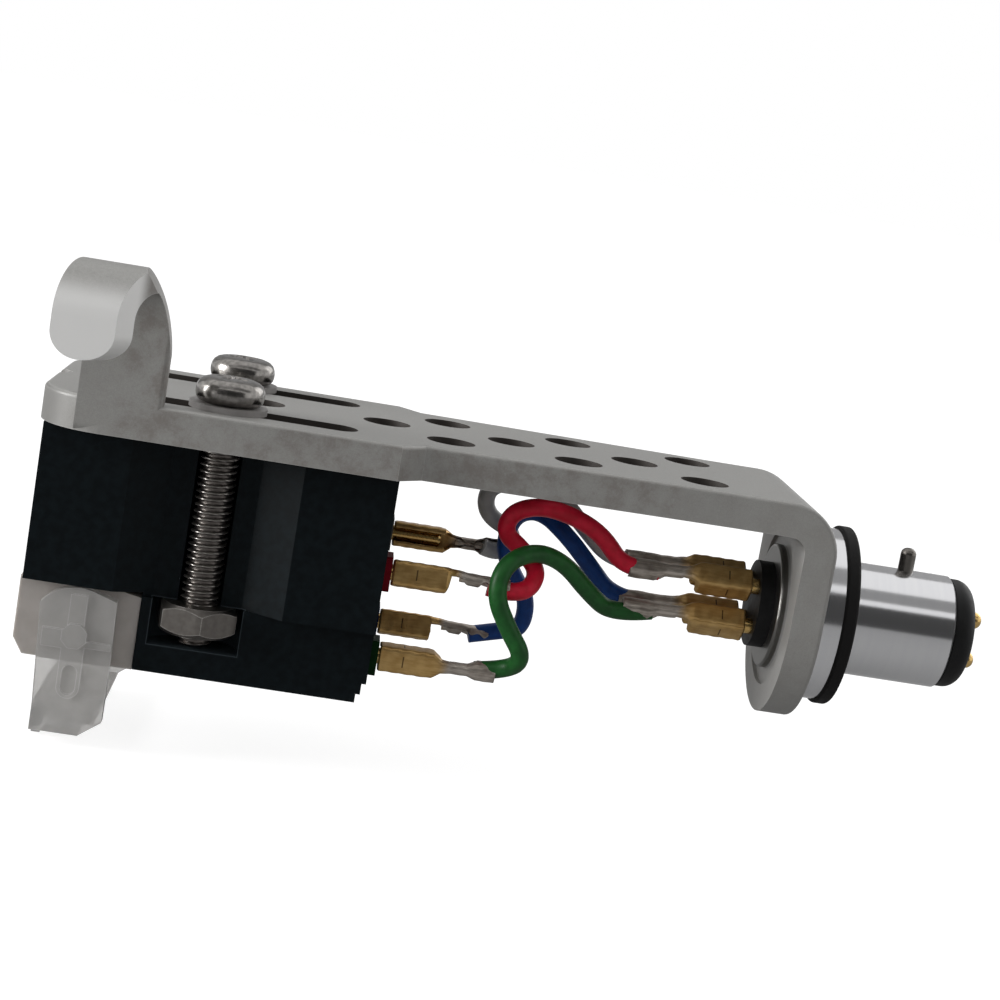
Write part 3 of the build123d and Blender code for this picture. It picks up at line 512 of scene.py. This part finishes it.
washer = Finish("clear_washer", Transmission_Weight=0.45, IOR=1.45)
washer.spotted(washer.noise(0.4 * mm), (0.38, 0.36, 0.35), (0.50, 0.48, 0.465), 0.3, 0.2)
print("three plastics")

# %% [markdown]
# The leads' insulation is soft, satin and faintly uneven. The terminals wear tags in the same
# four colours, darkened by painted shade, as they lie in shadow, so one recipe with a shade does both.

# %% Insulation and tags
# Painted shade: the tags lie in shadow, so this factor darkens their colours.
tag_painted_shade = 0.22
tints = {
    "white": ((0.50, 0.50, 0.485), (0.60, 0.60, 0.585)),
    "red": ((0.62, 0.008, 0.030), (0.84, 0.014, 0.052)),
    "blue": ((0.002, 0.040, 0.20), (0.005, 0.066, 0.30)),
    "green": ((0.009, 0.078, 0.014), (0.015, 0.125, 0.022)),
}


def coloured_plastic(name, dark, light, shade=1.0):
    """Insulation, or with a shade below 1 the tags, whose colours are darkened as painted shade."""
    finish = Finish(name, Specular_IOR_Level=0.3 * shade)
    spots = finish.noise(0.8 * mm, 3.0)
    dark, light = ([value * shade for value in tone] for tone in (dark, light))
    finish.varies(Base_Color=finish.mix(spots.step(0.25, 0.75), dark, light), Roughness=0.34 + spots * 0.2)
    finish.bump(finish.noise(0.25 * mm, 2.0), 0.008 * mm, 0.5)
    return finish


insulation = {colour: coloured_plastic(f"insulation_{colour}", *tint) for colour, tint in tints.items()}
tags = {colour: coloured_plastic(f"tag_{colour}", *tint, tag_painted_shade) for colour, tint in tints.items()}
print(len(insulation) + len(tags), "coloured plastics")

# %% [markdown]
# Each solid names the slot that it takes its finish from, so one table from slot to finish
# dresses them all. The tags and the radial pin differ from their slot's usual finish, and come
# after the table.


# %% Give the solids their finishes
def wear(target, *finishes):
    """Put these finishes on an object, in place of what it had."""
    target.data.materials.clear()
    for finish in finishes:
        target.data.materials.append(finish.material)


by_slot = {
    "silver_casting": silver, "chromed_barrel": chrome, "bright_steel": steel, "black_rubber": rubber,
    "black_insulator": insulator, "black_body": black, "coil_copper": copper, "clear_washer": washer,
    "milky_plastic": milky, "clear_plastic": clear, "tube_aluminium": chrome, "magnet_metal": steel,
    "diamond": clear, "gold_brass": pins, **{f"insulation_{c}": f for c, f in insulation.items()},
}
slot_of = {part["node"]: part["material_slot"] for part in frame["record"]["subparts"]}
for name, solid in nodes.items():
    wear(solid, by_slot[slot_of[name]])
for colour, lead in leads.items():
    wear(lead, insulation[colour])
    wear(nodes[f"terminal_tag_{colour}"], tags[colour])
wear(nodes["bayonet_pin"], dull_steel)
print(len(slot_of), "solids dressed")

# %% [markdown]
# Screws, nuts and clips are all skins over rows of points, so three helpers serve them: one joins
# rows into a closed skin, one turns it into an object with soft faces and sharp edges, and one
# keeps what a modifier made as the object's own mesh.


# %% From rows of points to pieces
def lathe(sheet, rows):
    """Join rows of points into a skin, with a cap at each end."""
    made = [[sheet.verts.new(Vector(point) * mm) for point in row] for row in rows]
    for low, high in zip(made, made[1:]):
        for i in range(len(low)):
            j = (i + 1) % len(low)
            sheet.faces.new((low[i], low[j], high[j], high[i]))
    sheet.faces.new(reversed(made[0]))
    sheet.faces.new(made[-1])


def solid_object(name, sheet, smooth=40):
    """An object from a bmesh, smooth but for edges sharper than this many degrees."""
    bmesh.ops.recalc_face_normals(sheet, faces=sheet.faces)
    mesh = bpy.data.meshes.new(name)
    sheet.to_mesh(mesh)
    sheet.free()
    mesh.shade_smooth()
    mesh.set_sharp_from_angle(angle=math.radians(smooth))
    return show(name, mesh)


def apply_modifiers(target):
    """Keep what the modifiers made as the object's own mesh."""
    seen = target.evaluated_get(bpy.context.evaluated_depsgraph_get())
    mesh = bpy.data.meshes.new_from_object(seen)
    target.modifiers.clear()
    target.data = mesh


print("mesh helpers ready")

# %% [markdown]
# The two long screws show their thread all the way down the body. A thread is a height field on
# a cylinder: the radius at each point depends only on how far the point is up the helix. So the
# shank is one grid of points, angle by height, and no helix has to be cut out of anything.

# %% The thread
thread_pitch, crest, root = 0.45, 1.29, 1.03
crest_share, slope_share = 0.08, 0.2
tip_z, neck_z, around = -7.4, 8.7, 32
blunt_height, blunt_share = 0.35, 0.72


def shank_radius(angle, height):
    """Flat crests, flat roots and slopes between them, as far up the helix as this point is."""
    turn = ((height - tip_z) / thread_pitch - angle / (2 * math.pi)) % 1.0
    slope = min(max((abs(turn - 0.5) - crest_share) / slope_share, 0.0), 1.0)
    blunt = min(max((height - tip_z) / blunt_height, 0.0), 1.0)
    return (root + (crest - root) * (1 - slope)) * (blunt_share + (1 - blunt_share) * blunt)


def ring(radius, height):
    """One row of points round the screw's axis. Without a radius, it follows the thread."""
    points = []
    for i in range(around):
        angle = 2 * math.pi * i / around
        away = radius or shank_radius(angle, height)
        points.append((away * math.cos(angle), away * math.sin(angle), height))
    return points


print(round((neck_z - tip_z) / thread_pitch), "turns of thread")

# %% [markdown]
# The thread's roots get painted shade: the steel is coloured darker there than on the crests. The
# head is smoother than the shank and darker, so a ramp up the screw's axis parts the two.

# %% Thread finish
threads = Finish("threaded_steel", Metallic=1.0)
thread_marks = threads.noise(0.3 * mm, 3.0)
from_axis = (threads.x - screw_x * mm).reach(threads.y.size() - screw_y * mm)
# Painted shade: the thread's roots are coloured darker.
root_painted_shade = (1 - from_axis.step(1.0 * mm, 1.27 * mm)) * (1 - threads.z.step(8.6 * mm, 8.7 * mm))
on_head = threads.z.step(8.7 * mm, 8.9 * mm)
shank_steel = threads.mix(thread_marks.step(0.2, 0.8), (0.33, 0.31, 0.29), (0.42, 0.40, 0.375))
head_steel = threads.mix(thread_marks.step(0.3, 0.7), (0.19, 0.18, 0.17), (0.30, 0.285, 0.27))
threads.varies(
    Base_Color=threads.mix(root_painted_shade, threads.mix(on_head, shank_steel, head_steel), (0.15, 0.135, 0.125)),
    Roughness=0.34 + thread_marks * 0.06 - on_head * 0.14,
)
print("thread finish")

# %% [markdown]
# A pan head is turned, so its outline alone gives it: rings of points, each as wide as the
# outline is at that height. The driver's cross is then cut with a boolean, from two crossed
# wedges that narrow downwards, as the real punch does.

# %% Threaded screws
head_profile = [
    (1.15, 8.97), (1.75, 8.99), (2.05, 9.08), (2.22, 9.28), (2.29, 9.55), (2.30, 9.80),
    (2.26, 10.08), (2.12, 10.36), (1.88, 10.56), (1.55, 10.67), (1.1, 10.71), (0.6, 10.73),
]
rows_per_turn, driver_turn = 10, 0.4
punch = [(9.85, 0.55, 0.16), (10.9, 1.22, 0.30)]  # height, reach and half width, low and high


def cross_cutter():
    """The driver's cross, as two crossed wedges that narrow downwards."""
    sheet = bmesh.new()
    for long_x in (True, False):
        corners = []
        for height, reach, width in punch:
            sides = [(reach, width), (-reach, width), (-reach, -width), (reach, -width)]
            corners.append([(a, b, height) if long_x else (-b, a, height) for a, b in sides])
        lathe(sheet, corners)
    return solid_object("cross_cutter", sheet)


def make_screw(side, sign):
    """A screw with a real thread and a cross recess, on the near or the far side."""
    sheet = bmesh.new()
    steps = round((neck_z - tip_z) / thread_pitch * rows_per_turn)
    rows = [ring(None, tip_z + (neck_z - tip_z) * i / steps) for i in range(steps + 1)]
    lathe(sheet, rows + [ring(radius, height) for radius, height in head_profile])
    screw = solid_object(f"threaded_screw_{side}", sheet, smooth=50)
    cutter = cross_cutter()
    cut = screw.modifiers.new("recess", "BOOLEAN")
    cut.object, cut.operation, cut.solver = cutter, "DIFFERENCE", "EXACT"
    cut.use_self = True
    apply_modifiers(screw)
    bpy.data.objects.remove(cutter)
    axis = Matrix.Translation(Vector((screw_x, sign * screw_y, 0)) * mm)
    screw.data.transform(axis @ Matrix.Rotation(driver_turn * sign, 4, "Z"))
    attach(screw, "headshell")
    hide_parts(f"mounting_screw_{side}")
    wear(screw, threads)
    return screw


screws = [make_screw("near", -1), make_screw("far", 1)]
print("each screw has", len(screws[0].data.polygons), "faces")

# %% [markdown]
# A nut is a hexagon with its corners turned off on a lathe. Round its axis the outline's distance
# follows one formula, and the chamfer is deeper where that distance is larger. The near nut turns
# a corner almost to the camera, as the real one came to rest.

# %% Hexagon nuts
nut_flats, nut_bore, nut_around = 5.0, 1.2, 72
face_rim, least_bevel, bevel_slope = 0.12, 0.15, 0.75


def make_nut(side, sign, corner):
    """A nut in its solid's place, with a corner at this angle round the screw."""
    bottom, top = (corner_of_box.z / mm for corner_of_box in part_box(f"screw_nut_{side}"))
    rims = [[] for _ in range(6)]
    for i in range(nut_around):
        angle = 2 * math.pi * i / nut_around
        from_flat = (angle - corner) % (math.pi / 3) - math.pi / 6
        outer = nut_flats / 2 / math.cos(from_flat)
        face = nut_flats / 2 - face_rim
        bevel = least_bevel + (outer - nut_flats / 2) * bevel_slope
        outline = [
            (nut_bore, bottom), (face, bottom), (outer, bottom + bevel),
            (outer, top - bevel), (face, top), (nut_bore, top),
        ]
        for rim, (radius, height) in zip(rims, outline):
            rim.append((radius * math.cos(angle), radius * math.sin(angle), height))
    sheet = bmesh.new()
    lathe(sheet, rims)
    nut = solid_object(f"hexagon_nut_{side}", sheet, smooth=25)
    nut.data.transform(Matrix.Translation(Vector((screw_x, sign * screw_y, 0)) * mm))
    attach(nut, "headshell")
    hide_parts(f"screw_nut_{side}")
    wear(nut, dull_steel)
    return nut


nuts = [make_nut("near", -1, math.radians(-81)), make_nut("far", 1, math.radians(-66))]
print(len(nuts), "nuts,", nut_flats, "mm across their flats")

# %% [markdown]
# A clip starts as flat sheet and is folded round the pin, then round the wire's strands, then
# round the insulation. So it is drawn as one open curl that changes shape along its length: a
# squarish curl on the pin, a shallow trough, and two round curls. The table gives that curl at
# some places, and the curl between two of them is a mixture of both.

# %% The curl of a clip
curls = [
    # along, half width, half height, centre, squareness, half gap in degrees
    (0.0, 0.84, 0.84, 0.0, 7, 10), (0.12, 0.89, 0.89, 0.0, 7, 7), (3.3, 0.89, 0.89, 0.0, 7, 7),
    (3.7, 0.86, 0.88, 0.0, 6, 8), (4.3, 0.50, 0.58, -0.26, 3, 95), (4.8, 0.42, 0.46, -0.34, 2.5, 90),
    (5.0, 0.42, 0.44, -0.33, 2.3, 45), (5.2, 0.43, 0.44, -0.31, 2.2, 20), (5.9, 0.43, 0.45, -0.29, 2.2, 22),
    (6.1, 0.44, 0.48, -0.24, 2.2, 85), (6.4, 0.56, 0.62, -0.10, 2.1, 98), (6.7, 0.69, 0.70, -0.02, 2.1, 92),
    (7.7, 0.70, 0.70, 0.0, 2.1, 84), (8.0, 0.68, 0.70, 0.0, 2.1, 96),
]
box_end, neck_end, crimp_end, grip_start = 3.7, 4.4, 5.9, 6.4
closed_gap, open_gap = 8, 95
stations = sorted({8.0 * i / 64 for i in range(65)} | {curl[0] for curl in curls} | {3.71, 3.74, 3.8, 3.9})


def curl_at(along, cut):
    """The curl's numbers here. A small cut ends the box's folded sides abruptly."""
    for low, high in zip(curls, curls[1:]):
        if low[0] <= along <= high[0]:
            share = (along - low[0]) / (high[0] - low[0])
            mixed = [a + (b - a) * share for a, b in zip(low, high)]
            if box_end < along < neck_end:
                mixed[5] = closed_gap + (open_gap - closed_gap) * min((along - box_end) / cut, 1.0)
            return mixed
    return list(curls[-1])


def power(value, squareness):
    """A sine or cosine, bent so that a circle of them turns squarer."""
    return math.copysign(abs(value) ** (2 / squareness), value)


print(len(stations), "places along a clip")

# %% [markdown]
# The wire's strands lie bare between the two crimps. A real bundle is many wires, but from
# outside only the outermost show, so seven lobes round one twisted tube look the same and stay
# light. They join the clip's own mesh, with a finish of their own.

# %% Twisted strands
strand_rows, strand_around = 25, 42
strand_start, strand_length = 4.55, 2.1
bundle_radius, bundle_low, lobes, lobe_height, twist = 0.21, 0.30, 7, 0.16, 1.6
spread_sway, rise_slope = 0.03, 0.2


def twist_strands(clip, phase):
    """Seven lobes twisted round the clip's axis, added to its mesh with the second finish."""
    sheet = bmesh.new()
    sheet.from_mesh(clip.data)
    rows = []
    for step in range(strand_rows):
        along = strand_start + strand_length * step / (strand_rows - 1)
        spread = bundle_radius + spread_sway * math.sin(2.5 * along + phase)
        rise = rise_slope * max(along - crimp_end, 0) - bundle_low
        row = []
        for i in range(strand_around):
            angle = 2 * math.pi * i / strand_around
            lobe = spread * (1 + lobe_height * abs(math.sin(lobes / 2 * (angle - twist * along))))
            point = Vector((along, lobe * math.cos(angle), lobe * math.sin(angle) + rise))
            row.append(sheet.verts.new(point * mm))
        rows.append(row)
    for low, high in zip(rows, rows[1:]):
        for i in range(strand_around):
            j = (i + 1) % strand_around
            face = sheet.faces.new((low[i], low[j], high[j], high[i]))
            face.material_index = 1
            face.smooth = True
    for end in (rows[0], rows[-1]):
        sheet.faces.new(end).material_index = 1
    sheet.to_mesh(clip.data)
    sheet.free()


print("strands have", strand_rows * strand_around, "points")

# %% [markdown]
# Each curl becomes a row of points, and the rows are joined into an open sheet, to which Solidify
# gives the metal's thickness. No two real clips look alike, so each one's seam points its own
# way, its box ends more or less abruptly, and its grip is dented by its own wobble.

# %% Folded clips
curl_points, sheet_thickness = 40, 0.10
grip_ramp, grip_sway, dent = 0.4, 9, 0.015


def make_clip(name, start, direction, seam, cut, wobble, grip, longer):
    """A clip from a pin along +X or -X. Its seam is turned towards a direction in Y and Z, and its
    grip on the insulation is open by that many degrees more or less than the table says, and
    longer by that share."""
    sheet = bmesh.new()
    rows = []
    for along in stations:
        _, half_w, half_h, centre, squareness, gap = curl_at(along, cut)
        gripping = min(max((along - crimp_end) / grip_ramp, 0.0), 1.0)
        gap += (grip + grip_sway * math.sin(6 * along + wobble)) * gripping
        open_to = math.pi - math.radians(gap)
        reach = along + longer * max(along - grip_start, 0)
        row = []
        for i in range(curl_points + 1):
            angle = -open_to + 2 * open_to * i / curl_points
            across = half_w * power(math.sin(angle), squareness)
            height = centre - half_h * power(math.cos(angle), squareness)
            swell = 1 + dent * math.sin(7 * along + wobble + 3 * angle)
            row.append(sheet.verts.new(Vector((reach, across * swell, height * swell)) * mm))
        rows.append(row)
    for low, high in zip(rows, rows[1:]):
        for i in range(curl_points):
            sheet.faces.new((low[i], high[i], high[i + 1], low[i + 1]))
    clip = solid_object(name, sheet, smooth=45)
    thick = clip.modifiers.new("sheet", "SOLIDIFY")
    thick.thickness, thick.offset = sheet_thickness * mm, -1.0
    apply_modifiers(clip)
    twist_strands(clip, wobble)
    x_axis = Vector((direction, 0, 0))
    z_axis = Vector((0, *seam)).normalized()
    clip.matrix_world = placed(Vector(start) * mm, x_axis, z_axis.cross(x_axis), z_axis)
    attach(clip, "headshell")
    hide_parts(name.replace("folded_", ""))
    wear(clip, plated, strand_tin)
    return clip


print("a clip's sheet is", sheet_thickness, "mm thick")

# %% [markdown]
# The cartridge's four clips face back and the connector's four face forward, so that each lead
# runs from one to the other. The seams are turned as they are on the real clips: some show
# the camera a flat back, and some the open fold.

# %% Clips on their pins
terminal_x, contact_x = -31.8, -6.8
contact_cut, contact_grip, contact_longer = 0.3, -38, 0.4
body_folds = {  # the seam's direction in Y and Z, the cut, and the grip's change in degrees
    "white": ((-1, 0.1), 0.5, 0), "red": ((-0.25, -1), 0.25, 0),
    "blue": ((-0.3, -1), 0.05, 0), "green": ((1, 0.0), 0.5, -50),
}
clips = []
for turn, (colour, (y, z)) in enumerate(terminals.items()):
    seam, cut, grip = body_folds[colour]
    name, start = f"folded_body_clip_{colour}", (terminal_x, y, z)
    clips.append(make_clip(name, start, 1, seam, cut, turn, grip, 0))
for turn, (colour, (y, z)) in enumerate(contacts.items(), 5):
    seam = (0.45, -0.9) if y > 0 else (0.7, -0.7)
    name, start = f"folded_contact_clip_{colour}", (contact_x, y, z)
    clips.append(make_clip(name, start, -1, seam, contact_cut, turn, contact_grip, contact_longer))
print(len(clips), "clips of", len(clips[0].data.polygons), "faces")

# %% [markdown]
# The floor is white paper. The lamps light it like any other thing, and for rays that reach the
# eye, a glossy surface or glass it also glows a little, so that all of it is white but for the
# soft shadow. The world does the same: white to the eye, and a level sky for the object.


# %% Floor and sky
def eye_rays(tree):
    """1 for rays from the camera and those that reflect or pass through, 0 for the rest."""
    rays = tree.nodes.new("ShaderNodeLightPath").outputs
    found = rays["Is Camera Ray"]
    for kind in ("Is Transmission Ray", "Is Glossy Ray"):
        either = tree.nodes.new("ShaderNodeMath")
        either.operation = "MAXIMUM"
        tree.links.new(found, either.inputs[0])
        tree.links.new(rays[kind], either.inputs[1])
        found = either.outputs[0]
    return found


paper_sheet = bmesh.new()
bmesh.ops.create_grid(paper_sheet, x_segments=1, y_segments=1, size=6.0)
floor = solid_object("floor", paper_sheet)
floor.location.z = cad_box[0].z - 0.2 * mm
paper = Finish("floor_paper", Roughness=1.0, Specular_IOR_Level=0.0, Emission_Strength=1.0)
paper.varies(
    Base_Color=paper.mix(paper.noise(0.02), (0.34, 0.34, 0.34), (0.36, 0.36, 0.36)),
    Emission_Color=paper.mix(Num(paper, eye_rays(paper.tree)), (0.0, 0.0, 0.0), (0.86, 0.86, 0.86)),
)
wear(floor, paper)

world = bpy.data.worlds.new("studio")
bpy.context.scene.world = world
world.use_nodes = True
sky = world.node_tree
background = sky.nodes["Background"]
background.inputs["Color"].default_value = (1, 1, 1, 1)
level = sky.nodes.new("ShaderNodeMapRange")
level.inputs["To Min"].default_value = 0.50
level.inputs["To Max"].default_value = 1.0
sky.links.new(eye_rays(sky), level.inputs["Value"])
sky.links.new(level.outputs[0], background.inputs["Strength"])
print("floor at", round(floor.location.z * 1000, 2), "mm")

# %% [markdown]
# Polished metal only looks like metal when it has something dark to reflect. Photographers stand
# cards beside the set for this. Here a dark card stands on the camera's side, and paler ones
# above, behind and under the part. They are seen only in reflections, so they neither shade the
# part nor show in any view. One lamp from the left gives the form, and a weak one fills in.


# %% Lamps and cards
def turned(target, place, aim):
    """Stand a lamp or a card at this place, turned towards its aim."""
    target.location = place
    target.rotation_euler = (Vector(aim) - Vector(place)).to_track_quat("-Z", "Y").to_euler()


def lamp(name, place, aim, size, watts):
    """A square area light at place, turned towards aim."""
    data = bpy.data.lights.new(name, "AREA")
    data.size, data.energy = size, watts
    turned(show(name, data), place, aim)


def card(name, place, aim, width, height, tone):
    """A grey card that only reflections see."""
    sheet = bmesh.new()
    bmesh.ops.create_grid(sheet, x_segments=1, y_segments=1, size=0.5)
    made = solid_object(name, sheet)
    made.scale = (width, height, 1)
    turned(made, place, aim)
    made.visible_camera = made.visible_diffuse = made.visible_shadow = False
    made.visible_transmission = False
    felt = Finish(name, Roughness=1.0, Specular_IOR_Level=0.0)
    felt.varies(Base_Color=felt.mix(felt.noise(0.05), (tone * 0.9,) * 3, (tone * 1.1,) * 3))
    wear(made, felt)


middle = (cad_box[0] + cad_box[1]) / 2
ground = floor.location.z + 0.3 * mm
lamp("key", (-0.44, -0.08, 0.10), middle, 0.20, 1.8)
lamp("fill", (0.26, 0.28, 0.18), middle, 0.25, 0.4)
card("card_front", (0.0, -0.41, 0.08), middle, 0.9, 0.46, tone=0.11)
card("card_upper", (0.0, -0.164, 0.31), middle, 0.9, 0.155, tone=0.6)
card("card_back", (0.0, 0.38, 0.18), middle, 0.9, 0.36, tone=0.6)
card("card_under", (0.0, 0.0, ground), (0.0, 0.0, 1.0), 0.9, 0.84, tone=0.5)
bpy.context.scene.view_settings.view_transform = "Standard"
print("2 lamps and 4 cards round", [round(value * 1000, 1) for value in middle])
